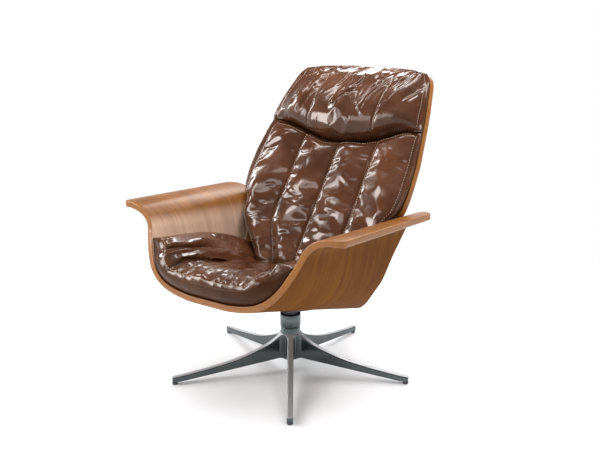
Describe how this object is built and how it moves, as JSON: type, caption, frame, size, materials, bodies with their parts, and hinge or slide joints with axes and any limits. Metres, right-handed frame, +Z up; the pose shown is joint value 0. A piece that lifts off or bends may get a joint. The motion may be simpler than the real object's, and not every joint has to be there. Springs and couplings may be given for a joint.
{
  "type": "swivel rocker",
  "caption": "Swivel and rocking lounge chair: a bent plywood arm shell and back shell with channelled leather cushions on a polished star base.",
  "frame": {"origin": "on the floor under the middle of the whole chair's box; the swivel axis stands 44.8 mm in front of it", "axes": "+Z up, the sitter faces -Y, and +X is the sitter's left"},
  "size_m": [0.836, 0.9476, 0.9837],
  "materials": {
    "walnut_ply": "satin lacquered walnut veneer on bent plywood, with the plies' clear edge showing orange brown",
    "brown_leather": "glossy dark brown leather, softly wrinkled, with tone-in-tone stitching",
    "polished_base": "polished cast aluminium",
    "black_steel": "black powder coat",
    "zinc_steel": "bright zinc plate",
    "rubber": "matte black",
    "nylon": "dark grey moulded nylon"
  },
  "bodies": {
    "base": {"base_casting": "polished_base", "glide_1": "nylon", "glide_2": "nylon", "glide_3": "nylon", "glide_4": "nylon", "glide_5": "nylon", "hub_collar": "polished_base", "lower_bush": "nylon", "upper_bush": "nylon", "lower_race": "zinc_steel"},
    "swivel": {"ball_cage": "zinc_steel", "upper_race": "zinc_steel", "swivel_spindle": "black_steel", "spindle_washer": "zinc_steel", "retaining_ring": "zinc_steel", "rocker_bracket": "black_steel", "pivot_axle": "zinc_steel", "axle_clip": "zinc_steel", "front_lower_spring_seat": "nylon", "rear_lower_spring_seat": "nylon", "front_right_spring": "zinc_steel", "front_left_spring": "zinc_steel", "rear_right_spring": "zinc_steel", "rear_left_spring": "zinc_steel", "front_bumper": "rubber", "rear_bumper": "rubber"},
    "seat": {"seat_plate": "black_steel", "pivot_bush_right": "nylon", "pivot_bush_left": "nylon", "front_upper_spring_seat": "nylon", "rear_upper_spring_seat": "nylon", "seat_plate_bolt_1": "zinc_steel", "seat_plate_bolt_2": "zinc_steel", "seat_plate_bolt_3": "zinc_steel", "seat_plate_bolt_4": "zinc_steel", "tee_nut_1": "zinc_steel", "tee_nut_2": "zinc_steel", "tee_nut_3": "zinc_steel", "tee_nut_4": "zinc_steel", "bracket_bolt_1": "zinc_steel", "bracket_bolt_2": "zinc_steel", "bracket_bolt_3": "zinc_steel", "bracket_bolt_4": "zinc_steel", "nut_plate_right": "zinc_steel", "nut_plate_left": "zinc_steel", "arm_shell": "walnut_ply", "back_shell": "walnut_ply", "back_bracket_right": "black_steel", "back_bracket_left": "black_steel", "back_pad_right": "rubber", "back_pad_left": "rubber", "back_screw_right_1": "zinc_steel", "back_screw_right_2": "zinc_steel", "back_screw_left_1": "zinc_steel", "back_screw_left_2": "zinc_steel", "seat_cushion": "brown_leather", "back_cushion": "brown_leather", "head_cushion": "brown_leather"}
  },
  "joints": [
    {"name": "seat_swivel", "type": "hinge", "parent": "base", "child": "swivel", "pos_m": [0, -0.04479, 0.16], "axis": [0, 0, 1], "continuous": true},
    {"name": "seat_rock", "type": "hinge", "parent": "swivel", "child": "seat", "pos_m": [0, -0.04479, 0.22815], "axis": [-1, 0, 0], "range_deg": [-7, 9], "stiffness_Nm_per_rad": 420, "springref_deg": -2.05, "deforming": ["front_right_spring", "front_left_spring", "rear_right_spring", "rear_left_spring"]}
  ]
}
